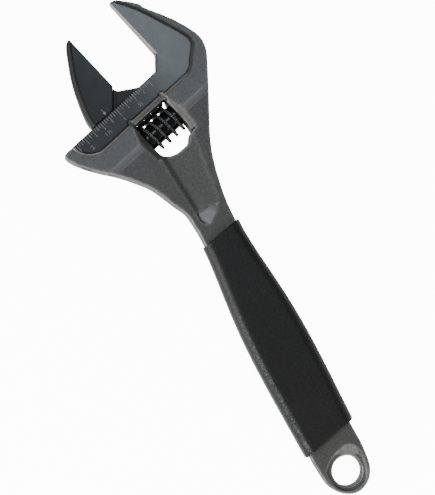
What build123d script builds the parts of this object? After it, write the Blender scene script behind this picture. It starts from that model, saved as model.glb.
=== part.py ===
from build123d import *
from math import asin, cos, degrees, pi, radians, sin, tan
import os

# A wide-opening adjustable wrench of the 12-inch class, in millimetres.
#
# Row frame: the origin is the centre of the hang hole on the middle plane, +X runs along the
# handle to the head, +Y points to the side that the jaw opens to, and +Z is square to the faces.
# Head frame: the head is forged at an angle to the handle. P points to the jaw tips, Q points
# the way the jaw opens, and Z is shared. P and Q are the X and Y of everything placed by head().

# ---- head frame
HEAD_ANGLE = 15.0
HEAD_X = 258.0
HEAD_Y = 2.0

# ---- jaws
JAW_TIP_P = 48.4
FIXED_FACE_Q = -20.2
MOVABLE_FACE_Q = 12.0
CLOSED_GAP = 0.1
BACK_BEVEL_WIDTH = 3.2
BACK_BEVEL_DROP = 0.7
CLOSING_TRAVEL = MOVABLE_FACE_Q - FIXED_FACE_Q - CLOSED_GAP
SHOULDER_GAP = 0.15

# ---- half thicknesses
HANDLE_HALF = 6.25
NECK_HALF = 6.8
NECK_START_P = -94.0
RIDGE_HALF = 9.8
WINDOW_EDGE_HALF = 8.1
FACE_SLOPE = 0.069
PANEL_STEP = 0.8
PANEL_ROOT = 1.5
PANEL_EDGE_WIDTH = 1.1
PANEL_EDGE_DROP = 0.75
PANEL_START_P = -14.0
RIDGE_P = -27.5
RIDGE_BAND = 4.0

# ---- hang hole and the sunk dish round it
HANG_HOLE_R = 8.95
HANG_DISH_DEPTH = 0.9
HANG_RAMP_TOP = (14.2, -8.0)
HANG_RAMP_DROP = 0.12

# ---- neck recess, deeper on the jaw side: stations along the handle with the floor's two edges
# and the width of the wall on the jaw side
RECESS_DEPTH = 1.7
RECESS_SHALLOW_DEPTH = 0.6
RECESS_SHALLOW_WIDTH = 3.0
RECESS_STATIONS = [
    (176.0, 5.8, -5.6, 2.6),
    (224.0, 9.2, -11.4, 3.0),
]
SPOON_RISE = 0.105
SPOON_Y = 1.4
SPOON_HALF_WIDTH = 6.4
SPOON_STRAIGHT = 3.2
SPOON_LENGTH = 9.6

# ---- worm and its window
WORM_P = -26.5
WORM_CREST_R = 10.2
WORM_ROOT_R = 6.8
WORM_BORE_R = 3.58
THREAD_PITCH = 5.6
THREAD_CREST = 1.4
THREAD_BASE = 2.8
THREAD_PHASE_Q = 2.85
WORM_LOW_Q = -4.8
WORM_HIGH_Q = 19.0
WORM_END_CHAMFER = 1.2
WINDOW_LOW_Q = -5.0
WINDOW_HIGH_Q = 19.2
WINDOW_JAW_P = -15.2
WINDOW_NECK_P = -44.4
FLARE_START_P = -40.0
FLARE_END_P = -11.0
FLARE_OPENING_Z = 7.75
FLARE_FIXED_Z = 7.6
FLARE_SPREAD = 2.2
FLARE_RISE = 3.0
BEVEL_BOTTOM = (-17.0, 5.9)
BEVEL_TOP = (-10.6, 9.2)

# ---- worm pin and spring
PIN_R = 3.5
PIN_LOW_Q = -13.0
PIN_HEAD_R = 4.5
PIN_HEAD_LOW_Q = 36.8
PIN_HEAD_HIGH_Q = 45.2
PIN_SLOT = 1.2
PIN_SLOT_DEPTH = 1.6
SPRING_WIRE_R = 0.45
SPRING_MEAN_R = 4.35
SPRING_TURNS = 4.0
SPRING_SEAT_R = 5.1
SPRING_SEAT_DEPTH = 5.0

# ---- movable jaw's rib, web and rack
RIB_P = -13.5
RIB_R = 5.5
RIB_END_CUT = 8.0
RIB_BORE_R = 5.8
RIB_HIGH_Q = 37.5
RIB_LOW_Q = -7.0
WEB_HALF = 3.0
WEB_SLOT_HALF = 3.3
RACK_ROOT_P = -15.8
RACK_GAP_AT_TIP = 3.2
RACK_GAP_AT_ROOT = 2.1

# ---- grip sleeve: station along the handle, half width and half thickness
SLEEVE_STATIONS = [
    (12.0, 17.4, 9.2),
    (45.0, 18.3, 9.6),
    (78.0, 18.7, 9.8),
    (104.0, 17.8, 9.5),
    (132.0, 15.2, 8.9),
    (168.0, 13.8, 8.6),
]
SLEEVE_CORNER = 6.0
SLEEVE_MIDDLE_Y = 0.1
SLEEVE_SLANT = 12.5
SLEEVE_LOW_X = 21.8
SLEEVE_HIGH_X = 159.0

# ---- lengths that only have to reach past the forging, along Q and across the faces
FAR = 90.0
THROUGH = 30.0

os.makedirs("parts", exist_ok=True)


def head(shape):
    """Place a shape drawn in the head frame."""
    return Location((HEAD_X, HEAD_Y, 0), (0, 0, HEAD_ANGLE)) * shape


def h(p, q):
    """Row-frame point of a head-frame point."""
    c = cos(radians(HEAD_ANGLE))
    s = sin(radians(HEAD_ANGLE))
    return (HEAD_X + p * c - q * s, HEAD_Y + p * s + q * c)


def along(dp, dq):
    """Row-frame direction of a head-frame direction."""
    tip = h(dp, dq)
    return (tip[0] - HEAD_X, tip[1] - HEAD_Y)


def face_height(p):
    """Half thickness of the forged face at the jaws, which thins towards the tips."""
    return WINDOW_EDGE_HALF - FACE_SLOPE * (p - WINDOW_JAW_P)


def along_q(radius, low, high, p=0.0):
    """A cylinder that runs along Q."""
    return Pos(p, (low + high) / 2, 0) * Rot(90, 0, 0) * Cylinder(radius, high - low)


def slab(points, low, high):
    """A prism along Q over an outline of (P, Z) points."""
    outline = make_face(Polyline(*points, close=True))
    return Pos(0, high, 0) * Rot(90, 0, 0) * extrude(outline, amount=high - low)


def both_faces(shape):
    """A shape and its mirror image on the back face."""
    return shape + mirror(shape, about=Plane.XY)


# ------------------------------------------------------------------------------------ body
def body_outline():
    """The forging's outline on its parting line."""
    hang_end = Spline(
        (16.0, 15.4), (5.0, 14.9), (-5.0, 13.0), (-14.2, 0.0), (-5.0, -13.0), (5.0, -14.9),
        (16.0, -15.3), tangents=[(-1, 0.03), (1, 0.03)],
    )
    lower_shank = Line((16.0, -15.3), (163.0, -11.2))
    lower_neck = Spline(
        (163.0, -11.2), (190.0, -14.0), (210.0, -19.7), h(-45, -14.3),
        tangents=[(1, 0.02), along(1, -0.873)],
    )
    flank = Line(h(-45, -14.3), h(-15, -40.5))
    jaw_back = Spline(
        h(-15, -40.5), h(-8, -45), h(-2, -46.3), h(5, -45.2), h(20, -40), h(34, -33.5),
        h(46.6, -25.2), tangents=[along(1, -0.873), along(1, 0.85)],
    )
    tip = ThreePointArc(h(46.6, -25.2), h(48.1, -23.0), h(JAW_TIP_P, FIXED_FACE_Q))
    inside = Polyline(
        h(JAW_TIP_P, FIXED_FACE_Q), h(8.6, FIXED_FACE_Q), h(7.0, -19.2), h(0, -13), h(0, 59.6),
    )
    heel = ThreePointArc(h(0, 59.6), h(-0.7, 61.0), h(-2.4, 61.4))
    upper_neck = Spline(
        h(-2.4, 61.4), h(-10, 59), h(-20, 53.3), h(-30, 46.2), h(-40, 40.6), (200.0, 23.8),
        (185.0, 16.7), (160.0, 11.8), tangents=[along(-1, -0.1), (-1, -0.02)],
    )
    upper_shank = Line((160.0, 11.8), (16.0, 15.4))
    handle_side = [hang_end, lower_shank, lower_neck, flank]
    head_side = [jaw_back, tip, inside, heel, upper_neck, upper_shank]
    return make_face(Curve() + handle_side + head_side)


def thickness_envelope():
    """What the forging's faces leave: thin handle, ridge beside the worm, jaws that thin out."""
    upper = [
        (-300.0, HANDLE_HALF), (NECK_START_P - 10, HANDLE_HALF), (NECK_START_P, NECK_HALF),
        (RIDGE_P - RIDGE_BAND / 2, RIDGE_HALF - 0.1), (RIDGE_P, RIDGE_HALF),
        (RIDGE_P + RIDGE_BAND / 2, RIDGE_HALF - 0.1), (WINDOW_JAW_P, WINDOW_EDGE_HALF),
        (JAW_TIP_P + 5, face_height(JAW_TIP_P + 5)),
    ]
    lower = [(p, -z) for p, z in reversed(upper)]
    return slab(upper + lower, -FAR, FAR)


def forging(blank):
    """The blank cut down to the faces, with the raised panels added inside its outline."""
    faces = blank & head(thickness_envelope())
    panels = blank & head(both_faces(raised_panel()))
    return faces + panels


def panel_outline():
    """The smooth raised panel on each face: round the jaw slide and over the fixed jaw."""
    start = PANEL_START_P
    tip = JAW_TIP_P + 1.6
    face = FIXED_FACE_Q + 1
    heel_arc = Spline(
        (start, 42.0), (-12.6, 46.8), (-8.6, 51.6), (-3.0, 54.2), (1.0, 54.6),
        tangents=[(0, 1), (1, 0)],
    )
    front = Polyline(
        (1.0, 54.6), (1.0, -11.0), (6.0, -17.0), (9.0, face), (tip, face), (tip, -22.6),
    )
    rim = Spline(
        (tip, -22.6), (38.0, -29.0), (20.0, -35.9), (6.0, -40.4), (-0.5, -41.2),
        tangents=[(-1, -0.45), (-1, 0.1)],
    )
    flank = Polyline((-0.5, -41.2), (-3.0, -40.2), (-12.4, -29.4), (start, -26.0), (start, 42.0))
    return make_face(Curve() + [heel_arc, front, rim, flank])


def face_plane(height):
    """A plane on the forged face's slope, drawn in P and Q, at a height over the face."""
    origin = (PANEL_START_P, 0, face_height(PANEL_START_P) + height)
    return Plane(origin=origin, x_dir=(1, 0, -FACE_SLOPE), z_dir=(FACE_SLOPE, 0, 1))


def raised_panel():
    """The panel as a low step with a sloping edge, rooted in the face below it."""
    outline = Pos(-PANEL_START_P, 0, 0) * panel_outline()
    block = extrude(outline, amount=PANEL_ROOT + PANEL_STEP)
    top = block.faces().sort_by(Axis.Z)[-1]
    block = chamfer(top.edges(), PANEL_EDGE_WIDTH, PANEL_EDGE_DROP, reference=top)
    return face_plane(-PANEL_ROOT) * block


def window():
    """The worm's window: square at the jaw side, rounded at the neck side."""
    low = WINDOW_LOW_Q
    high = WINDOW_HIGH_Q
    neck_end = Spline(
        (-35.5, high), (-40.4, 17.7), (-43.6, 12.5), (WINDOW_NECK_P, 6.5), (-43.4, 0.8),
        (-40.4, -3.4), (-36.0, low), tangents=[(-1, 0), (1, -0.1)],
    )
    square_end = Polyline(
        (-36.0, low), (WINDOW_JAW_P, low), (WINDOW_JAW_P, high), (-35.5, high),
    )
    return extrude(make_face(Curve() + [neck_end, square_end]), amount=THROUGH, both=True)


def flare_section(edge_q, start_z, way):
    """A sloping cut in Q and Z from a window edge; way is 1 on the opening side, -1 on the other."""
    top = start_z + FLARE_RISE
    return make_face(Polyline(
        (edge_q - way, start_z), (edge_q, start_z), (edge_q + way * FLARE_SPREAD * FLARE_RISE, top),
        (edge_q - way, top), close=True,
    ))


def window_flares():
    """Sloping cuts that open the window's edges towards the ridge and the jaw, for the thumb."""
    section = flare_section(WINDOW_HIGH_Q, FLARE_OPENING_Z, 1)
    section += flare_section(WINDOW_LOW_Q, FLARE_FIXED_Z, -1)
    cut = extrude(section, amount=FLARE_END_P - FLARE_START_P)
    flares = Pos(FLARE_START_P, 0, 0) * Rot(0, 90, 0) * Rot(0, 0, 90) * cut
    above = BEVEL_TOP[1] + FLARE_RISE
    bevel_points = [BEVEL_BOTTOM, BEVEL_TOP, (BEVEL_TOP[0], above), (BEVEL_BOTTOM[0], above)]
    bevel = slab(bevel_points, WINDOW_LOW_Q - 1.5, WINDOW_HIGH_Q)
    return both_faces(flares + bevel)


def rib_void(radius, low, high, tip_gap):
    """A cylinder along Q whose blind end is cut slanting, as the flank behind it runs."""
    bar = along_q(radius, low, high, RIB_P)
    reach = RIB_END_CUT
    keep = make_face(Polyline(
        (RIB_P - reach, low + reach + tip_gap + 0.5), (RIB_P + 0.5, low + tip_gap),
        (RIB_P + reach, low + tip_gap), (RIB_P + reach, high), (RIB_P - reach, high), close=True,
    ))
    return bar & extrude(keep, amount=radius + 1, both=True)


def jaw_channel():
    """The bore for the jaw's rib, the slot for its web, and the room for its foot when closed."""
    bore = rib_void(RIB_BORE_R, RIB_LOW_Q - CLOSING_TRAVEL - 0.4, FAR, 0.0)
    foot_q = -CLOSING_TRAVEL - 1.3
    slot_end_p = 9.3
    slot = make_face(Polyline(
        (RIB_P, foot_q - 6.5), (-7.0, foot_q - 6.5), (0.0, foot_q), (5.3, foot_q + 8.3),
        (7.7, FIXED_FACE_Q - 1.5), (slot_end_p, FIXED_FACE_Q - 0.6), (slot_end_p, FAR),
        (RIB_P, FAR), close=True,
    ))
    return bore + extrude(slot, amount=WEB_SLOT_HALF, both=True)


def pin_holes():
    """The pin's hole through the flank and the window to its blind end."""
    shaft = along_q(PIN_R, PIN_LOW_Q, PIN_HEAD_LOW_Q, WORM_P)
    thread = along_q(PIN_HEAD_R, PIN_HEAD_LOW_Q, FAR, WORM_P)
    return shaft + thread


def neck_face(x):
    """Half thickness of the neck at a place along the handle, where it rises to the ridge."""
    rise = (RIDGE_HALF - NECK_HALF) / (RIDGE_P - NECK_START_P)
    return NECK_HALF + rise * ((x - HEAD_X) * cos(radians(HEAD_ANGLE)) - NECK_START_P)


def spoon():
    """The recess's rounded end, where its floor climbs to the neck's face."""
    x, high, low, _ = RECESS_STATIONS[0]
    lean = (RECESS_DEPTH - RECESS_SHALLOW_DEPTH) / (high - low)
    floor = neck_face(x) - RECESS_DEPTH + lean * (high - SPOON_Y)
    ramp = Plane(origin=(x, SPOON_Y, floor), x_dir=(1, 0, -SPOON_RISE), z_dir=(SPOON_RISE, lean, 1))
    half = SPOON_HALF_WIDTH
    start = -SPOON_STRAIGHT
    sides = Polyline((start, half), (0.0, half), (0.0, -half), (start, -half))
    end = ThreePointArc((start, -half), (-SPOON_LENGTH, 0.0), (start, half))
    return ramp * extrude(make_face(Curve() + [sides, end]), amount=THROUGH)


def recess_section(x, high, low, high_width):
    """Section across the recess: its leaning floor and a sloping wall each side, drawn past the face."""
    past = 4.0
    face = neck_face(x)
    across = Plane(origin=(x, 0, 0), x_dir=(0, 1, 0), z_dir=(1, 0, 0))
    return across * make_face(Polyline(
        (low, face - RECESS_SHALLOW_DEPTH), (high, face - RECESS_DEPTH),
        (high + past * high_width, face + (past - 1) * RECESS_DEPTH),
        (low - past * RECESS_SHALLOW_WIDTH, face + (past - 1) * RECESS_SHALLOW_DEPTH), close=True,
    ))


def neck_recess():
    """The long sunk panel between the sleeve and the window, with a spoon-shaped start."""
    trough = loft([recess_section(*station) for station in RECESS_STATIONS], ruled=True)
    return both_faces(trough + spoon())


def hang_dish():
    """The sunk ring round the hang hole, drawn out to a shallow ramp towards one corner."""
    outline = make_face(Spline(
        (6.0, 10.2), (9.8, 5.6), (13.2, -2.0), (13.8, -7.6), (9.5, -11.2), (0.0, -11.4),
        (-8.4, -8.2), (-11.6, 0.0), (-7.6, 8.8), (0.0, 11.5), periodic=True,
    ))
    dish = Pos(0, 0, HANDLE_HALF - HANG_DISH_DEPTH) * extrude(outline, amount=2 * HANG_DISH_DEPTH)
    ramp = Plane(
        origin=(*HANG_RAMP_TOP, HANDLE_HALF), z_dir=(-HANG_RAMP_DROP, HANG_RAMP_DROP / 2, 1),
    )
    over_ramp = ramp * (Pos(0, 0, FAR / 2) * Box(FAR, FAR, FAR))
    return both_faces(dish & over_ramp)


def body():
    blank = extrude(body_outline(), amount=RIDGE_HALF + 1, both=True)
    shape = forging(blank)
    shape -= head(window())
    shape -= head(window_flares())
    shape -= head(jaw_channel())
    shape -= head(pin_holes())
    shape -= neck_recess()
    shape -= hang_dish()
    shape -= Cylinder(HANG_HOLE_R, THROUGH)
    return shape


# ----------------------------------------------------------------------------- movable jaw
def jaw_blade():
    """The thick part of the movable jaw, level with the panel on the body."""
    front_q = MOVABLE_FACE_Q
    shoulder = SHOULDER_GAP
    back = Spline(
        (1.4, 38.0), (6.0, 37.4), (15.0, 34.3), (25.0, 30.0), (35.0, 24.3), (44.0, 18.2),
        (47.4, 15.4), tangents=[(1, 0.02), (1, -0.95)],
    )
    tip = ThreePointArc((47.4, 15.4), (48.2, 14.0), (JAW_TIP_P, front_q))
    front = Polyline(
        (JAW_TIP_P, front_q), (10.8, front_q), (1.3, 20.6), (shoulder, 22.0), (shoulder, 37.0),
        (1.4, 38.0),
    )
    blade = extrude(make_face(Curve() + [back, tip, front]), amount=RIDGE_HALF, both=True)
    lift = PANEL_STEP - 0.15
    ends = [-1.0, JAW_TIP_P + 5]
    upper = [(p, face_height(p) + lift) for p in ends]
    lower = [(p, -z) for p, z in reversed(upper)]
    blade = blade & slab(upper + lower, -10.0, FAR)
    for side in (-1, 0):
        face = blade.faces().sort_by(Axis.Z)[side]
        back_edge = face.edges().filter_by(GeomType.BSPLINE)
        blade = chamfer(back_edge, BACK_BEVEL_WIDTH, BACK_BEVEL_DROP, reference=face)
    return blade


def jaw_web():
    """The thin web that joins the blade to the rib, with its hollow-cheeked foot."""
    start = (10.2, MOVABLE_FACE_Q + 0.7)
    foot = Spline(start, (7.0, 11.4), (4.7, 7.9), (0.0, 0.0), tangents=[(-1, -0.1), (-0.5, -1)])
    edges = Polyline(
        (0.0, 0.0), (-6.0, -5.5), (RIB_P, -5.5), (RIB_P, 37.4), (10.2, 30.0), start,
    )
    return extrude(make_face(Curve() + [foot, edges]), amount=WEB_HALF, both=True)


def rack_teeth_gaps():
    """Slanted grooves across the rib, one for each turn of the worm's thread along it."""
    pitch_line = pi * (WORM_CREST_R + WORM_ROOT_R)
    lean = degrees(asin(THREAD_PITCH / pitch_line))
    depth_out = 0.8
    flare = (RACK_GAP_AT_TIP - RACK_GAP_AT_ROOT) / 2 / (RACK_ROOT_P - RIB_P + RIB_R)
    half_root = RACK_GAP_AT_ROOT / 2
    half_out = RACK_GAP_AT_TIP / 2 + flare * depth_out
    out_p = RIB_P - RIB_R - depth_out
    section = make_face(Polyline(
        (RACK_ROOT_P, -half_root), (RACK_ROOT_P, half_root), (out_p, half_out),
        (out_p, -half_out), close=True,
    ))
    gap = Rot(lean, 0, 0) * extrude(section, amount=RIB_R + 1.5, both=True)
    first = THREAD_PHASE_Q + THREAD_PITCH / 2
    return [Pos(0, first + THREAD_PITCH * turn, 0) * gap for turn in range(-2, 7)]


def movable_jaw():
    rib = rib_void(RIB_R, RIB_LOW_Q, RIB_HIGH_Q, 0.3)
    for gap in rack_teeth_gaps():
        rib -= gap
    return head(rib + jaw_web() + jaw_blade())


# -------------------------------------------------------------------- worm, pin and spring
def worm_envelope():
    """The bar that the thread is turned from, with its ends chamfered."""
    radius = WORM_CREST_R + 0.01
    cut = WORM_END_CHAMFER
    half = make_face(Polyline(
        (0.0, WORM_LOW_Q), (radius - cut, WORM_LOW_Q), (radius, WORM_LOW_Q + cut),
        (radius, WORM_HIGH_Q - cut), (radius - cut, WORM_HIGH_Q), (0.0, WORM_HIGH_Q), close=True,
    ))
    return Pos(WORM_P, 0, 0) * revolve(half, axis=Axis.Y)


def worm_thread():
    """The right-hand thread, a turn too long at each end, with a crest at the phase place."""
    start = WORM_LOW_Q - THREAD_PITCH
    height = WORM_HIGH_Q - WORM_LOW_Q + 2 * THREAD_PITCH
    sink = 0.6
    inner = WORM_ROOT_R - sink - WORM_CREST_R
    grow = (THREAD_BASE - THREAD_CREST) / 2 / (WORM_CREST_R - WORM_ROOT_R)
    half_crest = THREAD_CREST / 2
    half_root = THREAD_BASE / 2 + grow * sink
    outline = make_face(Polyline(
        (0.0, -half_crest), (0.0, half_crest), (inner, half_root), (inner, -half_root), close=True,
    ))
    section = Plane(origin=(WORM_CREST_R, 0, 0), x_dir=(1, 0, 0), z_dir=(0, 1, 0)) * outline
    path = Helix(THREAD_PITCH, height, WORM_CREST_R)
    thread = sweep(section, path=path, is_frenet=True)
    turned = 360 * (start - THREAD_PHASE_Q) / THREAD_PITCH
    return Pos(WORM_P, start, 0) * Rot(-90, 0, 0) * Rot(0, 0, 180 + turned) * thread


def worm():
    """The worm that the thumb turns, bored for its pin and its spring."""
    core = along_q(WORM_ROOT_R, WORM_LOW_Q, WORM_HIGH_Q, WORM_P)
    thread = worm_thread()
    shape = core + (thread & worm_envelope())
    shape -= along_q(WORM_BORE_R, WORM_LOW_Q - 1, WORM_HIGH_Q + 1, WORM_P)
    shape -= along_q(SPRING_SEAT_R, WORM_LOW_Q - 1, WORM_LOW_Q + SPRING_SEAT_DEPTH, WORM_P)
    return head(shape)


def worm_pin():
    """The pin that the worm runs on, screwed into the flank from the opening side."""
    shaft = along_q(PIN_R, PIN_LOW_Q + 0.5, PIN_HEAD_LOW_Q, WORM_P)
    thread = along_q(PIN_HEAD_R, PIN_HEAD_LOW_Q, PIN_HEAD_HIGH_Q, WORM_P)
    slot = Pos(WORM_P, PIN_HEAD_HIGH_Q, 0) * Box(3 * PIN_HEAD_R, 2 * PIN_SLOT_DEPTH, PIN_SLOT)
    return head(shaft + thread - slot)


def worm_spring():
    """The small coil that takes up the worm's end play, seated in the worm's end."""
    low = WORM_LOW_Q + SPRING_WIRE_R
    length = SPRING_SEAT_DEPTH - 2 * SPRING_WIRE_R - 0.15
    path = Helix(length / SPRING_TURNS, length, SPRING_MEAN_R)
    wire = Plane(origin=path @ 0, z_dir=path % 0) * Circle(SPRING_WIRE_R)
    coil = sweep(wire, path=path, is_frenet=True)
    return head(Pos(WORM_P, low, 0) * Rot(-90, 0, 0) * coil)


# ------------------------------------------------------------------------------ grip sleeve
def sleeve_outer():
    """The moulded sleeve's outside, fuller in the palm and slimmer towards the head."""
    sections = []
    for x, half_width, half_thickness in SLEEVE_STATIONS:
        plane = Plane(origin=(x, SLEEVE_MIDDLE_Y, 0), x_dir=(0, 1, 0), z_dir=(1, 0, 0))
        sections.append(plane * RectangleRounded(2 * half_width, 2 * half_thickness, SLEEVE_CORNER))
    return loft(sections)


def grip_sleeve(handle):
    """The sleeve, its ends cut slanting and its inside moulded to the handle."""
    lean = FAR * tan(radians(SLEEVE_SLANT))
    ends = make_face(Polyline(
        (SLEEVE_LOW_X - lean, FAR), (SLEEVE_HIGH_X - lean, FAR), (SLEEVE_HIGH_X + lean, -FAR),
        (SLEEVE_LOW_X + lean, -FAR), close=True,
    ))
    return (sleeve_outer() & extrude(ends, amount=THROUGH, both=True)) - handle


# ---------------------------------------------------------------------------------- export
handle = body()
nodes = {
    "body": handle,
    "movable_jaw": movable_jaw(),
    "worm": worm(),
    "worm_pin": worm_pin(),
    "worm_spring": worm_spring(),
    "grip_sleeve": grip_sleeve(handle),
}
for name, shape in nodes.items():
    print(name, round(shape.volume), len(shape.solids()), shape.is_valid)
    export_step(shape, f"parts/{name}.step")
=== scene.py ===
from math import cos, pi, radians, sin

import bpy
import numpy as np
from mathutils import Matrix, Vector
from mathutils import noise as hills


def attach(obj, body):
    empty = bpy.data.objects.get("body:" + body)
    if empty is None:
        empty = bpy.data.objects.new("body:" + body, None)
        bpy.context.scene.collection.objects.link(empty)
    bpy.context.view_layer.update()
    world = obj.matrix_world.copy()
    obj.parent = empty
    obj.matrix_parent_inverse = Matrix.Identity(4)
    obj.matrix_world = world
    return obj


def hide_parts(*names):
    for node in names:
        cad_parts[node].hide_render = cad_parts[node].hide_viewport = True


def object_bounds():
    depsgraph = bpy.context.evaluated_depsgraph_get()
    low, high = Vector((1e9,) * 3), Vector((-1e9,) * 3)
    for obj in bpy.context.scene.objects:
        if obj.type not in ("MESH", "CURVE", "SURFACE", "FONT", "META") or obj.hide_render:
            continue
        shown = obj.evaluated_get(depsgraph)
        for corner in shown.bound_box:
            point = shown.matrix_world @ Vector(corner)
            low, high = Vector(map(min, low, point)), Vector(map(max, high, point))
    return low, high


# An adjustable wrench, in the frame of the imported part. Blender works in metres; the sizes
# below are in millimetres and go through MM.
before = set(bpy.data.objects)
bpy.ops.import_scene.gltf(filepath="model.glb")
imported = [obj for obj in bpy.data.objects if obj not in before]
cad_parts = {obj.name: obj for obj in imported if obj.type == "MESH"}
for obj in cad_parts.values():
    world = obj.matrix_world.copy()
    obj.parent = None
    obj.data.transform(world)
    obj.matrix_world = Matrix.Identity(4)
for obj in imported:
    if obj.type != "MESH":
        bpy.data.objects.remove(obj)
cad_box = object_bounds()

MM = 0.001

# ---- head frame: P points to the jaw tips, Q the way the jaw opens
HEAD_ANGLE = radians(15.0)
HEAD_ORIGIN = Vector((258.0, 2.0, 0.0))
X_AXIS = Vector((1.0, 0.0, 0.0))
Y_AXIS = Vector((0.0, 1.0, 0.0))
Z_AXIS = Vector((0.0, 0.0, 1.0))
P_AXIS = Vector((cos(HEAD_ANGLE), sin(HEAD_ANGLE), 0.0))
Q_AXIS = Vector((-sin(HEAD_ANGLE), cos(HEAD_ANGLE), 0.0))

# ---- the ground panel's plane: half thickness at the window's edge, and its fall towards the tips
PANEL_HALF = 8.9
PANEL_FROM_P = -15.2
PANEL_SLOPE = 0.069
PANEL_REACH = 100.0
BLADE_DROP = 0.15

# ---- worm
WORM_P = -26.5
WORM_LOW_Q = -4.8
WORM_HIGH_Q = 19.0
WORM_CREST_R = 10.2
WORM_ROOT_R = 6.8
WORM_BORE_R = 3.7
THREAD_PITCH = 5.6
THREAD_PHASE_Q = 2.85
THREAD_CREST = 1.4
THREAD_BASE = 2.8
KNURL_COUNT = 44
KNURL_DEPTH = 0.3
KNURL_SKEW = 0.35
# how far below the crest the painted crest highlight reaches
CREST_HIGHLIGHT_DEPTH = 0.25
WORM_LIP = 0.8
WORM_LIP_DROP = 0.5
WORM_STEPS_ROUND = 264
WORM_STEPS_ALONG = 170

# ---- zones of the head: a pair of depths or distances says where a zone starts and where it is full
GROUND_DEPTHS = (0.49, 0.20)
GROUND_BLEND = 0.6
# the ground panel grows brighter and cooler towards -Q: a painted reflection, partly rubbing
SHEEN_AND_RUB_Q = (24.0, -21.0)
SHEEN_AND_RUB_POWER = 2.0
RIDGE_P = -27.5
RIDGE_HALF_BAND = 2.0
RIDGE_BLEND = 0.2
RIDGE_WEAR = 0.19
RIDGE_LINE = (0.5, 0.2)
RIDGE_LINE_WEAR = 0.32
RIDGE_FLOOR = 9.3
# the panel's sloping step: worn pale, partly a painted highlight
STEP_WEAR_AND_HIGHLIGHT = 0.5
STEP_MIDDLE = 0.5
STEP_HALF = 0.3
STEP_Q = (-25.0, -23.0)
JAW_FACES_Q = (-20.2, 12.0)
BARE_DISTANCES = (0.5, 0.3)
BARE_P = (7.0, 8.0)
BARE_TONE = 0.4

# ---- painted sheen on the slanted ramps in the neck and at the hang hole: middle X and Y, radius and strength
SHEEN_PATCHES = [
    (171.0, 3.2, 8.5, 0.5),
    (10.5, -8.0, 9.0, 0.55),
]
# a ramp's normal is this upright where its painted sheen starts, and at its steepest
SLANT_FROM = 0.997
SLANT_TO = 0.93
SLANT_BLEND = 0.004

# ---- painted shade in hollow corners: how hollow a corner is where it starts, as a share of a worn edge, and the most of it
SHADE_FROM = 0.5
SHADE_MOST = 0.8

# ---- where the steel is left as forged, and how its skin waves: size and weight
FORGED_TO_P = -15.5
FORGED_BLEND = 1.5
RIM_DEPTH = 0.5
RIM_FIXED_Q = -31.0
RIM_SLANT = 0.45
RIM_SLANT_REACH = 20.0
RIM_HEEL_Q = 55.0
FORGE_PASSES = 5
FORGE_WAVE = 0.05
FORGE_WAVES = [(7.0, 1.0), (2.2, 0.4)]

# ---- softened copies: how far a smoothing pass moves a point towards its neighbours; then voxel
# size, smoothing passes, and how many triangles are left
SMOOTHING = 0.5
BODY_COPY = (0.45, 2, 190000)
JAW_COPY = (0.3, 2, 90000)
SLEEVE_COPY = (0.45, 6, 90000)
NORMAL_WEIGHT = 60

# ---- how far a fully worn edge stands out of the points round it
BODY_EDGE = 0.045
JAW_EDGE = 0.035

# ---- opening scale, in sixteenths of an inch
SIXTEENTH = 25.4 / 16
SCALE_ZERO_Q = -5.35
SCALE_MARKS = 38
MARKS_TO_A_NUMBER = 8
MARKS_TO_A_QUARTER = 4
MARK_LENGTHS = {0: 5.2, 1: 2.2, 2: 3.2, 3: 2.2}
MARK_HALF = 0.17
MARK_END_P = -0.35
MARK_RISE = 0.05
MARK_ROOT = 0.25
NUMBERS = ["\u00bd", "1", "1\u00bd", "2"]
NUMBER_P = -8.2
NUMBER_SIZE = 3.6
POINTER_Q = 26.6
POINTER_TIP_P = 0.5
POINTER_BARB_P = 2.8
POINTER_BARB_HALF = 0.9
POINTER_END_P = 5.2

# ---- steel: grain sizes, tones as shares of the material's own, and roughness
NOISE_RANGE = (0.3, 0.7)
CLOUD_SIZE = 7.0
GRAIN_SIZE = 0.8
PIT_SIZE = 1.5
CLOUD_TONES = (0.92, 1.06)
SAND_SHARE = 0.7
SAND_TONE = 1.7
SPECK_SIZE = 1.0
SPECK_RANGE = (0.50, 0.70)
SPECK_SHARE = 0.55
SPECK_TONE = 0.45
# the panel's dull end and its brighter, cooler end; the bright end is a painted reflection, partly rubbing
DULL_TONES = (0.32, 0.36)
BRIGHT_TONES = (0.97, 1.06)
BRIGHT_TINTS = (0.01, 0.02)
# tone of the painted shade in hollow corners
CORNER_SHADE_TONE = 0.15
WEAR_SHARES = (0.45, 1.0)
STEEL_METALLIC = 0.92
FORGED_ROUGHNESS = (0.42, 0.54)
GROUND_ROUGHNESS = (0.34, 0.38)
STEEL_HEIGHTS = (0.6, 0.4)
STEEL_BUMPS = (0.8, 0.15)
STEEL_BUMP_DEPTH = 0.10
STAIN_SIZE = 2.5
STAIN_RANGE = (0.35, 0.65)
STAIN_TONES = (0.75, 1.25)
STAIN_ROUGHNESS = (0.8, 1.2)
PLAIN_METALLIC = 0.85
PLAIN_GRAIN_SIZE = 0.25
PLAIN_BUMP = 0.3
PLAIN_BUMP_DEPTH = 0.03

# ---- rubber: grain, tones, and a painted highlight on the +Y shoulder, which fades out where the
# sleeve's skin faces sideways and towards the head
CELL_SIZE = 0.75
RUBBER_GRAIN_SIZE = 0.35
PATCH_SIZE = 14.0
PATCH_RANGE = (0.35, 0.65)
RUBBER_TONES = (0.003, 0.0045)
RUBBER_TINT = 0.03
RUBBER_ROUGHNESS = (0.36, 0.50)
RUBBER_SPECULAR = 0.45
RUBBER_HEIGHTS = (0.7, 0.3)
RUBBER_BUMP = 0.9
RUBBER_BUMP_DEPTH = 0.2
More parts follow.
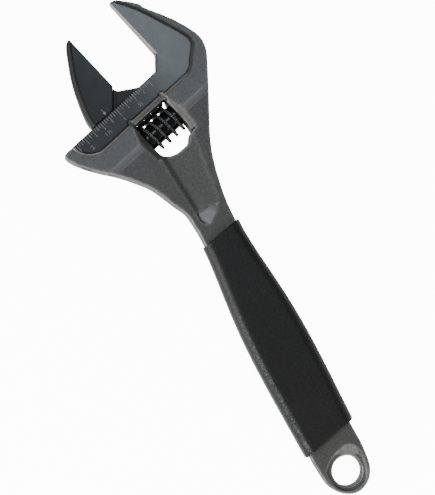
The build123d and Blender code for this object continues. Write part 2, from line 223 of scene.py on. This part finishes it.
# painted highlight on the +Y shoulder: its grey, tint, tilts, fade and grain
SHOULDER_HIGHLIGHT_TONE = 0.12
SHOULDER_HIGHLIGHT_TINT = 0.06
SHOULDER_HIGHLIGHT_TILTS = (0.15, 0.4)
SHOULDER_HIGHLIGHT_SIDE_TILTS = (0.5, 0.85)
SHOULDER_HIGHLIGHT_FADE_X = (70.0, 130.0)
SHOULDER_HIGHLIGHT_FADED = 0.3
SHOULDER_HIGHLIGHT_CELLS = (0.3, 0.6)

# ---- etched marks
ETCH_PATCH_SIZE = 1.2
ETCH_TONES = (0.14, 0.34)
ETCH_ROUGHNESS = 0.55
ETCH_METALLIC = 0.3

# ---- camera and stage: the picture's up and right, and the point it is centred on, in the row frame
IMAGE_UP = Vector((0.8829, -0.4695, 0.0))
IMAGE_RIGHT = Vector((-0.4695, -0.8829, 0.0))
LOOK_AT = Vector((0.1524, 0.00555, 0.0))
VIEW_HEIGHT = 293.4 * MM
LENS = 135.0
SENSOR = 36.0
CAMERA_REACH = 10.0
LEAN = 6.0

FLOOR_SIDE = 3.0
FLOOR_TONE = 0.9
FLOOR_ROUGHNESS = 0.9
FLOOR_GLOW = 12.0
FLOOR_BOUNCE = 0.6
WORLD_COLOUR = (0.95, 0.97, 1.0, 1.0)
WORLD_LIGHT = 0.2

# soft boxes: name; its direction from the wrench, to the picture's right, up the picture and off the
# floor; distance and sides in metres; power and colour
LIGHTS = [
    ("key_left", -1.0, -0.35, 0.62, 0.9, (0.4, 0.9), 6.0, (1.0, 0.99, 0.97)),
    ("low_front", 0.35, -1.0, 0.42, 0.9, (0.7, 0.3), 6.0, (1.0, 0.99, 0.97)),
    ("sky_top", -0.14, 0.38, 1.0, 1.2, (0.3, 0.25), 2.1, (0.82, 0.93, 1.0)),
    ("warm_low", 0.15, -0.42, 1.0, 1.2, (0.2, 0.2), 0.9, (1.0, 0.95, 0.88)),
    ("fill_right", 1.0, 0.2, 0.35, 1.0, (0.5, 0.9), 1.0, (1.0, 1.0, 1.0)),
]


# ------------------------------------------------------------------------------- helpers
def head_point(p, q, z):
    """A head-frame point in millimetres as a row-frame point in metres."""
    return (HEAD_ORIGIN + P_AXIS * p + Q_AXIS * q + Z_AXIS * z) * MM


def place_object(name, data):
    """An object in the scene that shows this mesh, light or camera."""
    item = bpy.data.objects.new(name, data)
    bpy.context.scene.collection.objects.link(item)
    return item


def new_mesh(name, points, faces):
    mesh = bpy.data.meshes.new(name)
    mesh.from_pydata(points, [], faces)
    mesh.update()
    return mesh


def baked(source):
    """The finished mesh of an object that is only there to make it."""
    graph = bpy.context.evaluated_depsgraph_get()
    mesh = bpy.data.meshes.new_from_object(source.evaluated_get(graph))
    bpy.data.objects.remove(source)
    return mesh


def new_object(name, mesh, material, body, smooth=True):
    """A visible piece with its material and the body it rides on."""
    piece = place_object(name, mesh)
    mesh.materials.clear()
    mesh.materials.append(material)
    mesh.polygons.foreach_set("use_smooth", [smooth] * len(mesh.polygons))
    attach(piece, body)
    return piece


def ring_mesh(name, points):
    """A closed mesh from a grid of points that closes on itself both ways."""
    rows, columns = points.shape[:2]
    index = np.arange(rows * columns).reshape(rows, columns)
    down = np.roll(index, -1, axis=0)
    right = np.roll(index, -1, axis=1)
    corner = np.roll(down, -1, axis=1)
    quads = np.stack([index, right, corner, down], axis=-1).reshape(-1, 4)
    return new_mesh(name, (points.reshape(-1, 3) * MM).tolist(), quads.tolist())


def add_node(tree, kind, inputs=None, **settings):
    """A shader node. An input is a number, a colour or another node's output."""
    node = tree.nodes.new(kind)
    for key, value in settings.items():
        setattr(node, key, value)
    for key, value in (inputs or {}).items():
        if isinstance(value, bpy.types.NodeSocket):
            tree.links.new(value, node.inputs[key])
        else:
            node.inputs[key].default_value = value
    return node


def new_material(name):
    material = bpy.data.materials.new(name)
    material.use_nodes = True
    return material, material.node_tree, material.node_tree.nodes["Principled BSDF"]


def coordinate(tree, kind):
    return add_node(tree, "ShaderNodeTexCoord").outputs[kind]


def attribute(tree, name):
    return add_node(tree, "ShaderNodeAttribute", attribute_name=name).outputs["Fac"]


def noise(tree, vector, size_mm, detail=3.0, roughness=0.55):
    """Noise whose features are about size_mm across."""
    node = add_node(
        tree, "ShaderNodeTexNoise",
        {"Vector": vector, "Scale": 1.0 / (size_mm * MM), "Detail": detail, "Roughness": roughness},
    )
    return node.outputs["Fac"]


def ramp(tree, factor, low, high, low_value=0.0, high_value=1.0):
    """A number that goes from low_value to high_value as factor goes from low to high."""
    node = add_node(
        tree, "ShaderNodeMapRange",
        {"Value": factor, "From Min": low, "From Max": high, "To Min": low_value, "To Max": high_value},
    )
    return node.outputs["Result"]


def math_node(tree, operation, a, b=0.0):
    return add_node(tree, "ShaderNodeMath", {0: a, 1: b}, operation=operation).outputs[0]


def product(tree, a, b):
    return math_node(tree, "MULTIPLY", a, b)


def gap(tree, a, b):
    """How far apart two shader values are."""
    return math_node(tree, "ABSOLUTE", math_node(tree, "SUBTRACT", a, b))


def weighted_sum(tree, a, b, weights):
    return math_node(tree, "ADD", product(tree, a, weights[0]), product(tree, b, weights[1]))


def projection(tree, vector, axis):
    node = add_node(tree, "ShaderNodeVectorMath", {0: vector, 1: axis}, operation="DOT_PRODUCT")
    return node.outputs["Value"]


def blend_colours(tree, factor, low, high):
    """Mix of two colours, each a value or an output. A Mix node's colours are its inputs 6 and 7."""
    node = add_node(tree, "ShaderNodeMix", data_type="RGBA")
    for socket, value in ((node.inputs[0], factor), (node.inputs[6], low), (node.inputs[7], high)):
        if isinstance(value, bpy.types.NodeSocket):
            tree.links.new(value, socket)
        else:
            socket.default_value = value
    return node.outputs[2]


def grey(level, tint=0.0):
    """A grey; a positive tint cools it."""
    return (level * (1 - tint), level, level * (1 + tint), 1.0)


def forged_grey(level):
    """The grey of a phosphated forging, a hair warmer than neutral."""
    return (level, level, level * 0.99, 1.0)


def add_bump(tree, shader, height, strength, depth_mm):
    bump = add_node(
        tree, "ShaderNodeBump", {"Height": height, "Strength": strength, "Distance": depth_mm * MM},
    )
    tree.links.new(bump.outputs["Normal"], shader.inputs["Normal"])


# ------------------------------------------------------------------------ zones of the head
def along(tree, place, axis):
    """Millimetres from the head's origin along an axis, as a shader value."""
    millimetres = math_node(tree, "DIVIDE", projection(tree, place, axis), MM)
    return math_node(tree, "SUBTRACT", millimetres, HEAD_ORIGIN.dot(axis))


def step_wear_and_highlight(tree, below, ahead, q):
    """The panel's sloping edge, worn pale and partly a painted highlight, as far as the fixed jaw's rim.
    """
    wear = ramp(tree, gap(tree, below, STEP_MIDDLE), STEP_HALF, 0.0, 0.0, STEP_WEAR_AND_HIGHLIGHT)
    return product(tree, product(tree, wear, ahead), ramp(tree, q, *STEP_Q))


def ridge_wear(tree, p, z):
    """The crest of the ridge beside the worm, with its two edges paler still."""
    off_ridge = gap(tree, p, RIDGE_P)
    crest = ramp(tree, off_ridge, RIDGE_HALF_BAND + RIDGE_BLEND, RIDGE_HALF_BAND, 0.0, RIDGE_WEAR)
    edges = ramp(tree, gap(tree, off_ridge, RIDGE_HALF_BAND), *RIDGE_LINE, 0.0, RIDGE_LINE_WEAR)
    band = math_node(tree, "MAXIMUM", crest, edges)
    return product(tree, band, ramp(tree, z, RIDGE_FLOOR - RIDGE_BLEND, RIDGE_FLOOR))


def bare_faces(tree, p, q):
    """The two faces that grip a nut."""
    faces = [ramp(tree, gap(tree, q, face_q), *BARE_DISTANCES) for face_q in JAW_FACES_Q]
    return product(tree, math_node(tree, "MAXIMUM", *faces), ramp(tree, p, *BARE_P))


def head_zones(tree, place):
    """Shader masks: the ground panel, its end brightened by painted reflection and rubbing, worn steps
    with a painted highlight, the worn ridge, and bare jaw faces.
    """
    p = along(tree, place, P_AXIS)
    q = along(tree, place, Q_AXIS)
    z = math_node(tree, "ABSOLUTE", along(tree, place, Z_AXIS))
    far_p = PANEL_FROM_P + PANEL_REACH
    panel = ramp(tree, p, PANEL_FROM_P, far_p, PANEL_HALF, panel_height(far_p))
    below = math_node(tree, "SUBTRACT", panel, z)
    ahead = ramp(tree, p, PANEL_FROM_P, PANEL_FROM_P + GROUND_BLEND)
    ground = product(tree, ramp(tree, below, *GROUND_DEPTHS), ahead)
    # painted reflection and rubbing, strongest towards -Q
    sheen_and_rub = math_node(tree, "POWER", ramp(tree, q, *SHEEN_AND_RUB_Q), SHEEN_AND_RUB_POWER)
    # the step's wear and painted highlight, and the ridge's wear
    worn = math_node(tree, "MAXIMUM", step_wear_and_highlight(tree, below, ahead, q), ridge_wear(tree, p, z))
    return ground, sheen_and_rub, worn, bare_faces(tree, p, q)


# ----------------------------------------------------------------------------- materials
def forged_colour(tree, place, cloud, grain, tone):
    """Cloudy grey with pale sand marks and dark specks."""
    colour = blend_colours(tree, cloud, *(forged_grey(tone * share) for share in CLOUD_TONES))
    sand = product(tree, ramp(tree, grain, *NOISE_RANGE), SAND_SHARE)
    colour = blend_colours(tree, sand, colour, forged_grey(tone * SAND_TONE))
    spots = noise(tree, place, SPECK_SIZE, roughness=0.7)
    specks = ramp(tree, spots, *SPECK_RANGE, 0.0, SPECK_SHARE)
    return blend_colours(tree, specks, colour, forged_grey(tone * SPECK_TONE))


def ground_colour(tree, cloud, sheen_and_rub, tone):
    """Dark satin grey, brighter and cooler towards -Q: a painted reflection, partly rubbing."""
    dull = blend_colours(tree, cloud, *(grey(tone * share) for share in DULL_TONES))
    brights = [grey(tone * share, tint) for share, tint in zip(BRIGHT_TONES, BRIGHT_TINTS)]
    return blend_colours(tree, sheen_and_rub, dull, blend_colours(tree, cloud, *brights))


def steel(name, forged_tone, ground_tone, wear_and_sheen_tone):
    """Phosphated steel: grainy where forged, satin where ground, paler along worn edges, with painted
    sheen, painted highlights and painted corner shade where its masks say.
    """
    material, tree, shader = new_material(name)
    place = coordinate(tree, "Object")
    ground, sheen_and_rub, zone_wear_and_highlight, bare = head_zones(tree, place)
    # the edge attribute holds worn edges and also the painted sheen on the ramps
    forged_edge = product(tree, attribute(tree, "edge"), ramp(tree, ground, 0.0, 1.0, 1.0, 0.0))
    edge = math_node(tree, "MAXIMUM", forged_edge, zone_wear_and_highlight)
    cloud = ramp(tree, noise(tree, place, CLOUD_SIZE, detail=4.0), *NOISE_RANGE)
    grain = noise(tree, place, GRAIN_SIZE, roughness=0.7)

    forged = forged_colour(tree, place, cloud, grain, forged_tone)
    # the ground panel carries the painted reflection of ground_colour
    colour = blend_colours(tree, ground, forged, ground_colour(tree, cloud, sheen_and_rub, ground_tone))
    # paler where edges are worn, and where the edge attribute and zone masks carry painted sheen and
    # highlights
    worn = product(tree, edge, ramp(tree, grain, *NOISE_RANGE, *WEAR_SHARES))
    colour = blend_colours(tree, worn, colour, grey(wear_and_sheen_tone))
    # painted shade: darker in the hollow corners
    colour = blend_colours(tree, attribute(tree, "painted_shade"), colour, grey(forged_tone * CORNER_SHADE_TONE))
    colour = blend_colours(tree, bare, colour, grey(BARE_TONE))
    tree.links.new(colour, shader.inputs["Base Color"])
    shader.inputs["Metallic"].default_value = STEEL_METALLIC

    rough_forged = ramp(tree, grain, *NOISE_RANGE, *FORGED_ROUGHNESS)
    rough_ground = ramp(tree, cloud, 0.0, 1.0, *GROUND_ROUGHNESS)
    roughness = add_node(tree, "ShaderNodeMix", {0: ground, 2: rough_forged, 3: rough_ground})
    tree.links.new(roughness.outputs[0], shader.inputs["Roughness"])
    pits = noise(tree, place, PIT_SIZE, detail=4.0, roughness=0.6)
    height = weighted_sum(tree, pits, grain, STEEL_HEIGHTS)
    add_bump(tree, shader, height, ramp(tree, ground, 0.0, 1.0, *STEEL_BUMPS), STEEL_BUMP_DEPTH)
    return material


def plain_steel(name, tone, roughness, wear_and_sheen_tone=0.3):
    """Machined steel of a small piece, stained, and paler where its "edge" attribute is set: on the worm,
    a painted highlight along the crests.
    """
    material, tree, shader = new_material(name)
    place = coordinate(tree, "Object")
    stain = noise(tree, place, STAIN_SIZE, detail=4.0)
    tones = [grey(tone * share) for share in STAIN_TONES]
    colour = blend_colours(tree, ramp(tree, stain, *STAIN_RANGE), *tones)
    colour = blend_colours(tree, attribute(tree, "edge"), colour, grey(wear_and_sheen_tone))
    tree.links.new(colour, shader.inputs["Base Color"])
    matt = ramp(tree, stain, *NOISE_RANGE, *(roughness * share for share in STAIN_ROUGHNESS))
    tree.links.new(matt, shader.inputs["Roughness"])
    shader.inputs["Metallic"].default_value = PLAIN_METALLIC
    fine = noise(tree, place, PLAIN_GRAIN_SIZE, detail=2.0)
    add_bump(tree, shader, fine, PLAIN_BUMP, PLAIN_BUMP_DEPTH)
    return material


def shoulder_highlight(tree, place, cells):
    """Painted highlight on the rubber: along its +Y shoulder, on the raised grain, less towards the head.
    """
    tilt = projection(tree, coordinate(tree, "Normal"), Y_AXIS)
    shoulder = product(tree, ramp(tree, tilt, *SHOULDER_HIGHLIGHT_TILTS), ramp(tree, tilt, *SHOULDER_HIGHLIGHT_SIDE_TILTS, 1.0, 0.0))
    x = math_node(tree, "DIVIDE", projection(tree, place, X_AXIS), MM)
    shoulder = product(tree, shoulder, ramp(tree, x, *SHOULDER_HIGHLIGHT_FADE_X, 1.0, SHOULDER_HIGHLIGHT_FADED))
    return product(tree, shoulder, ramp(tree, cells, *SHOULDER_HIGHLIGHT_CELLS))


def grip_rubber():
    """Matt black moulded rubber with a fine leathery grain, and a painted grey highlight along one
    shoulder.
    """
    material, tree, shader = new_material("grip_rubber")
    place = coordinate(tree, "Object")
    cells = add_node(
        tree, "ShaderNodeTexVoronoi",
        {"Vector": place, "Scale": 1.0 / (CELL_SIZE * MM), "Randomness": 1.0},
        feature="SMOOTH_F1",
    ).outputs["Distance"]
    fine = noise(tree, place, RUBBER_GRAIN_SIZE)
    patches = ramp(tree, noise(tree, place, PATCH_SIZE), *PATCH_RANGE)
    colour = blend_colours(tree, patches, *(grey(tone, RUBBER_TINT) for tone in RUBBER_TONES))
    # painted highlight along the +Y shoulder
    colour = blend_colours(tree, shoulder_highlight(tree, place, cells), colour, grey(SHOULDER_HIGHLIGHT_TONE, SHOULDER_HIGHLIGHT_TINT))
    tree.links.new(colour, shader.inputs["Base Color"])
    tree.links.new(ramp(tree, fine, *NOISE_RANGE, *RUBBER_ROUGHNESS), shader.inputs["Roughness"])
    shader.inputs["Specular IOR Level"].default_value = RUBBER_SPECULAR
    height = weighted_sum(tree, cells, fine, RUBBER_HEIGHTS)
    add_bump(tree, shader, height, RUBBER_BUMP, RUBBER_BUMP_DEPTH)
    return material


def etched_marks():
    """Pale etched lines, thin enough to look cut in."""
    material, tree, shader = new_material("etched_marks")
    patchy = noise(tree, coordinate(tree, "Object"), ETCH_PATCH_SIZE)
    colour = blend_colours(tree, ramp(tree, patchy, *NOISE_RANGE), *(grey(tone) for tone in ETCH_TONES))
    tree.links.new(colour, shader.inputs["Base Color"])
    shader.inputs["Roughness"].default_value = ETCH_ROUGHNESS
    shader.inputs["Metallic"].default_value = ETCH_METALLIC
    return material


# ------------------------------------------------------------------------- forged pieces
def vertex_array(mesh, kind):
    """Each vertex's place, "co", or its "normal"."""
    values = np.zeros(len(mesh.vertices) * 3, np.float32)
    if kind == "normal":
        mesh.vertex_normals.foreach_get("vector", values)
    else:
        mesh.vertices.foreach_get(kind, values)
    return values.reshape(-1, 3).astype(float)


def move_vertices(mesh, place):
    mesh.vertices.foreach_set("co", place.astype(np.float32).ravel())
    mesh.update()


def add_attribute(mesh, name, values):
    data = mesh.attributes.new(name, "FLOAT", "POINT").data
    data.foreach_set("value", values.astype(np.float32))


def edge_ends(mesh):
    """The vertices at the two ends of each edge, as two rows."""
    ends = np.zeros(len(mesh.edges) * 2, np.int64)
    mesh.edges.foreach_get("vertices", ends)
    return ends.reshape(-1, 2).T


def neighbour_average(values, ends):
    """For each vertex, the mean of its neighbours' values."""
    a, b = ends
    size = len(values)
    count = np.bincount(a, minlength=size) + np.bincount(b, minlength=size)
    columns = values.reshape(size, -1)
    average = np.zeros_like(columns)
    for axis in range(columns.shape[1]):
        total = np.bincount(a, columns[b, axis], size) + np.bincount(b, columns[a, axis], size)
        average[:, axis] = total / count
    return average.reshape(values.shape)


def convexity(mesh):
    """How far each vertex stands out of its neighbours, in metres: high along outer edges."""
    ends = edge_ends(mesh)
    place = vertex_array(mesh, "co")
    out = ((place - neighbour_average(place, ends)) * vertex_array(mesh, "normal")).sum(axis=1)
    return (out + neighbour_average(out, ends)) / 2


def panel_height(p):
    """Half thickness of the raised panel at a place along P."""
    return PANEL_HALF - PANEL_SLOPE * (p - PANEL_FROM_P)


def head_coordinates(place):
    """P and Q in millimetres of row-frame places in metres."""
    local = place / MM - np.array(HEAD_ORIGIN)
    return local @ np.array(P_AXIS), local @ np.array(Q_AXIS)


def forged_share(place):
    """1 where the steel is left as forged, 0 on the ground panels, the slide and the jaw faces."""
    p, q = head_coordinates(place)
    handle = np.clip((FORGED_TO_P - p) / FORGED_BLEND, 0.0, 1.0)
    sunk = panel_height(p) - np.abs(place[:, 2]) / MM > RIM_DEPTH
    rim_q = RIM_FIXED_Q - RIM_SLANT * np.clip(-p, 0.0, RIM_SLANT_REACH)
    rim = sunk & ((q < rim_q) | (q > RIM_HEEL_Q))
    return np.maximum(handle, rim)


def forge(mesh):
    """Round the forged edges over, and leave the surface a little uneven."""
    ends = edge_ends(mesh)
    place = vertex_array(mesh, "co")
    share = forged_share(place)
    for _ in range(FORGE_PASSES):
        place += SMOOTHING * share[:, None] * (neighbour_average(place, ends) - place)
    move_vertices(mesh, place)
    wave = np.zeros(len(place))
    for size_mm, weight in FORGE_WAVES:
        scaled = place / (size_mm * MM)
        wave += weight * np.array([hills.noise(point) for point in scaled])
    place += vertex_array(mesh, "normal") * (wave * share * FORGE_WAVE * MM)[:, None]
    move_vertices(mesh, place)


def with_modifier(mesh, kind, **settings):
    """The mesh that a modifier makes of another."""
    source = place_object("modifier_source", mesh)
    modifier = source.modifiers.new(kind, kind)
    for key, value in settings.items():
        setattr(modifier, key, value)
    return baked(source)


def softened(node, name, voxel_mm, passes):
    """A copy of a CAD piece with its edges eased."""
    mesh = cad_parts[node].data.copy()
    mesh = with_modifier(mesh, "REMESH", mode="VOXEL", voxel_size=voxel_mm * MM)
    mesh = with_modifier(mesh, "SMOOTH", factor=SMOOTHING, iterations=passes)
    mesh.name = name
    return mesh


def ramp_sheen(mesh):
    """Painted sheen on the slanted ramps inside the listed patches, fading out from half way to their
    edges.
    """
    place = vertex_array(mesh, "co") / MM
    upright = np.abs(vertex_array(mesh, "normal")[:, 2])
    slanted = np.clip((SLANT_FROM - upright) / SLANT_BLEND, 0.0, 1.0) * (upright > SLANT_TO)
    worn = np.zeros(len(place))
    for x, y, radius, wear in SHEEN_PATCHES:
        away = np.hypot(place[:, 0] - x, place[:, 1] - y) / radius
        worn = np.maximum(worn, wear * slanted * np.clip(2.0 - 2.0 * away, 0.0, 1.0))
    return worn


def mark_surfaces(mesh, edge_mm):
    """Say where the steel's edges are worn, where sheen is painted on its slanted ramps, and where shade
    is painted into its hollow corners.
    """
    bend = convexity(mesh) / (edge_mm * MM)
    # painted shade in the hollow corners, where the surface bends inwards
    add_attribute(mesh, "painted_shade", np.clip(-bend - SHADE_FROM, 0.0, SHADE_MOST))
    # the edge attribute: real edge wear, plus the painted sheen on the slanted ramps
    add_attribute(mesh, "edge", np.clip(np.maximum(bend, ramp_sheen(mesh)), 0.0, 1.0))


def thinned(mesh, faces):
    """About that many triangles, flat where the piece is flat, its normals led by the big faces."""
    triangles = sum(len(face.vertices) - 2 for face in mesh.polygons)
    mesh = with_modifier(mesh, "DECIMATE", ratio=min(1.0, faces / triangles))
    mesh.polygons.foreach_set("use_smooth", [True] * len(mesh.polygons))
    return with_modifier(mesh, "WEIGHTED_NORMAL", mode="FACE_AREA_WITH_ANGLE", weight=NORMAL_WEIGHT)


def forged_body(material):
    """The body's forging, with soft edges and an uneven skin."""
    voxel, passes, faces = BODY_COPY
    mesh = softened("body", "forged_body", voxel, passes)
    forge(mesh)
    mark_surfaces(mesh, BODY_EDGE)
    piece = new_object("forged_body", thinned(mesh, faces), material, "frame")
    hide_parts("body")


def sliding_jaw(material):
    """The movable jaw with its edges eased."""
    voxel, passes, faces = JAW_COPY
    mesh = softened("movable_jaw", "sliding_jaw", voxel, passes)
    mark_surfaces(mesh, JAW_EDGE)
    piece = new_object("sliding_jaw", thinned(mesh, faces), material, "jaw")
    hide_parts("movable_jaw")


# ---------------------------------------------------------------------------------- worm
def thread_radius(turn, q):
    """The worm's radius at an angle, in turns from -P by way of +Z, and a place along Q."""
    phase = (q - THREAD_PHASE_Q) / THREAD_PITCH - turn
    off = np.abs(phase - np.round(phase)) * THREAD_PITCH
    flank = (THREAD_BASE - THREAD_CREST) / 2
    rise = np.clip((THREAD_BASE / 2 - off) / flank, 0.0, 1.0)
    rise = rise * rise * (3 - 2 * rise)
    knurl = np.abs(np.sin(pi * (KNURL_COUNT * turn + KNURL_SKEW * off)))
    notch = KNURL_DEPTH * (1 - knurl) * np.clip(rise * 2 - 1, 0.0, 1.0)
    return WORM_ROOT_R + (WORM_CREST_R - WORM_ROOT_R) * rise - notch


def worm_grid():
    """Radius, angle and place along Q of the worm's skin: its outside, and the bore's two ends."""
    turns = np.arange(WORM_STEPS_ROUND) / WORM_STEPS_ROUND
    turn, q = np.meshgrid(turns, np.linspace(WORM_LOW_Q, WORM_HIGH_Q, WORM_STEPS_ALONG))
    ease = np.clip(np.minimum(q - WORM_LOW_Q, WORM_HIGH_Q - q) / WORM_LIP, 0.0, 1.0)
    radius = thread_radius(turn, q) - WORM_LIP_DROP * (1 - np.sqrt(1 - (1 - ease) ** 2))
    bore = np.full((1, WORM_STEPS_ROUND), WORM_BORE_R)
    angle = 2 * pi * np.vstack([turn[:1], turn, turn[-1:]])
    return np.vstack([bore, radius, bore]), angle, np.vstack([q[:1], q, q[-1:]])


def knurled_worm(material):
    """The worm as one closed skin: thread, knurled crest, rounded ends and bore."""
    radius, angle, q = worm_grid()
    p = WORM_P - radius * np.cos(angle)
    points = np.array(HEAD_ORIGIN) + p[..., None] * np.array(P_AXIS) + q[..., None] * np.array(Q_AXIS)
    points[..., 2] += radius * np.sin(angle)
    mesh = ring_mesh("knurled_worm", points[::-1])
    # painted highlight along the thread's crests, carried in the edge attribute
    worn = np.clip((radius[::-1] - WORM_CREST_R) / CREST_HIGHLIGHT_DEPTH + 1.0, 0.0, 1.0)
    add_attribute(mesh, "edge", worn.ravel())
    piece = new_object("knurled_worm", mesh, material, "worm")
    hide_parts("worm")


# -------------------------------------------------------------------------------- sleeve
def moulded_sleeve(material):
    """The sleeve with rounded lips and soft corners."""
    voxel, passes, faces = SLEEVE_COPY
    mesh = softened("grip_sleeve", "moulded_sleeve", voxel, passes)
    piece = new_object("moulded_sleeve", thinned(mesh, faces), material, "frame")
    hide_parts("grip_sleeve")


# --------------------------------------------------------------------------------- scale
def mark_box(p_low, p_high, q_low, q_high):
    """The corners of a thin bar that lies on the panel, its top a hair proud of it."""
    corners = []
    for depth in (-MARK_ROOT, MARK_RISE):
        for p, q in ((p_low, q_low), (p_high, q_low), (p_high, q_high), (p_low, q_high)):
            corners.append(head_point(p, q, panel_height(p) + depth))
    return corners


# a box's faces by its corners: four round the bottom, then four round the top
BOX_FACES = [(3, 2, 1, 0), (4, 5, 6, 7), (0, 1, 5, 4), (1, 2, 6, 5), (2, 3, 7, 6), (3, 0, 4, 7)]


def boxes_mesh(name, boxes):
    """One mesh of separate boxes, each given by its eight corners."""
    points = []
    faces = []
    for corners in boxes:
        first = len(points)
        points += corners
        faces += [tuple(first + i for i in face) for face in BOX_FACES]
    return new_mesh(name, points, faces)


def scale_lines(material):
    """The opening scale along the slide's edge, in sixteenths of an inch."""
    boxes = []
    for mark in range(SCALE_MARKS):
        q = SCALE_ZERO_Q + mark * SIXTEENTH
        start_p = MARK_END_P - MARK_LENGTHS[mark % MARKS_TO_A_QUARTER]
        boxes.append(mark_box(start_p, MARK_END_P, q - MARK_HALF, q + MARK_HALF))
    mesh = boxes_mesh("scale_lines", boxes)
    new_object("scale_lines", mesh, material, "frame", smooth=False)


def scale_number(index, text, q, material):
    """A number that reads from the jaw side, lying on the panel."""
    curve = bpy.data.curves.new("number_curve", "FONT")
    curve.body = text
    curve.size = NUMBER_SIZE * MM
    curve.extrude = (MARK_ROOT + MARK_RISE) / 2 * MM
    curve.align_x = "CENTER"
    curve.align_y = "CENTER"
    mesh = baked(place_object("number_source", curve))
    normal = (P_AXIS * PANEL_SLOPE + Z_AXIS).normalized()
    right = -Q_AXIS
    turn = Matrix((right, normal.cross(right), normal)).transposed().to_4x4()
    middle = head_point(NUMBER_P, q, panel_height(NUMBER_P) + (MARK_RISE - MARK_ROOT) / 2)
    mesh.transform(Matrix.Translation(middle) @ turn)
    new_object(f"scale_number_{index}", mesh, material, "frame", smooth=False)


def scale_numbers(material):
    """Generic inch numbers beside the scale's longer lines."""
    for index, text in enumerate(NUMBERS):
        q = SCALE_ZERO_Q + MARKS_TO_A_NUMBER * (index + 1) * SIXTEENTH
        scale_number(index, text, q, material)


def pointer(material):
    """The index line and its arrow head on the movable jaw."""
    half = [(POINTER_BARB_P, POINTER_BARB_HALF), (POINTER_BARB_P, MARK_HALF), (POINTER_END_P, MARK_HALF)]
    outline = [(POINTER_TIP_P, 0.0)] + half + [(p, -q) for p, q in reversed(half)]
    count = len(outline)
    points = []
    for depth in (-MARK_ROOT, MARK_RISE):
        for p, q in outline:
            points.append(head_point(p, POINTER_Q + q, panel_height(p) - BLADE_DROP + depth))
    faces = [tuple(range(count)), tuple(reversed(range(count, 2 * count)))]
    for i in range(count):
        after = (i + 1) % count
        faces.append((i, i + count, after + count, after))
    mesh = new_mesh("pointer", points, faces)
    new_object("pointer", mesh, material, "jaw", smooth=False)


# -------------------------------------------------------------------------------- studio
def stage_floor():
    """White paper under the wrench. It glows to the camera, and lights the wrench much less."""
    z = cad_box[0][2]
    corners = [(-1, -1), (1, -1), (1, 1), (-1, 1)]
    points = [(x * FLOOR_SIDE, y * FLOOR_SIDE, z) for x, y in corners]
    piece = place_object("floor", new_mesh("floor", points, [(0, 1, 2, 3)]))
    material, tree, shader = new_material("floor_paper")
    shader.inputs["Base Color"].default_value = grey(FLOOR_TONE)
    shader.inputs["Roughness"].default_value = FLOOR_ROUGHNESS
    shader.inputs["Emission Color"].default_value = grey(1.0)
    seen = add_node(tree, "ShaderNodeLightPath").outputs["Is Camera Ray"]
    glow = ramp(tree, seen, 0.0, 1.0, FLOOR_BOUNCE, FLOOR_GLOW)
    tree.links.new(glow, shader.inputs["Emission Strength"])
    piece.data.materials.append(material)


def area_light(name, direction, distance, size, power, colour):
    """A soft box that faces the wrench's middle."""
    data = bpy.data.lights.new(name, "AREA")
    data.shape = "RECTANGLE"
    data.size, data.size_y = size
    data.energy = power
    data.color = colour
    lamp = place_object(name, data)
    lamp.location = LOOK_AT + direction.normalized() * distance
    lamp.rotation_euler = (LOOK_AT - lamp.location).to_track_quat("-Z", "Y").to_euler()


def studio():
    """The floor, the soft boxes, two of them strong and low so that edges shine and flats stay dark."""
    stage_floor()
    for name, right, up, rise, distance, size, power, colour in LIGHTS:
        direction = IMAGE_RIGHT * right + IMAGE_UP * up + Z_AXIS * rise
        area_light(name, direction, distance, size, power, colour)
    world = bpy.data.worlds.new("studio")
    world.use_nodes = True
    background = world.node_tree.nodes["Background"]
    background.inputs["Color"].default_value = WORLD_COLOUR
    background.inputs["Strength"].default_value = WORLD_LIGHT
    bpy.context.scene.world = world


def camera():
    """A long lens over the wrench's middle, leaning LEAN degrees towards +Y."""
    distance = VIEW_HEIGHT / (SENSOR / LENS)
    lean = radians(LEAN)
    back = Vector((0.0, sin(lean), cos(lean)))
    up = (IMAGE_UP - IMAGE_UP.dot(back) * back).normalized()
    data = bpy.data.cameras.new("camera")
    data.lens = LENS
    data.sensor_width = SENSOR
    data.clip_end = CAMERA_REACH
    view = place_object("camera", data)
    turn = Matrix((up.cross(back), up, back)).transposed().to_4x4()
    view.matrix_world = Matrix.Translation(LOOK_AT + back * distance) @ turn
    bpy.context.scene.camera = view


def finish_node(node, material):
    """A CAD piece that keeps its own shape gets its finish."""
    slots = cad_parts[node].data.materials
    slots.clear()
    slots.append(material)


camera()
studio()
forged_body(steel("forged_steel", forged_tone=0.100, ground_tone=0.092, wear_and_sheen_tone=0.42))
sliding_jaw(steel("jaw_steel", forged_tone=0.040, ground_tone=0.066, wear_and_sheen_tone=0.15))
moulded_sleeve(grip_rubber())
knurled_worm(plain_steel("worm_steel", tone=0.026, roughness=0.24, wear_and_sheen_tone=0.12))
finish_node("worm_pin", plain_steel("pin_steel", tone=0.06, roughness=0.4))
finish_node("worm_spring", plain_steel("spring_steel", tone=0.3, roughness=0.3))
marks = etched_marks()
scale_lines(marks)
scale_numbers(marks)
pointer(marks)
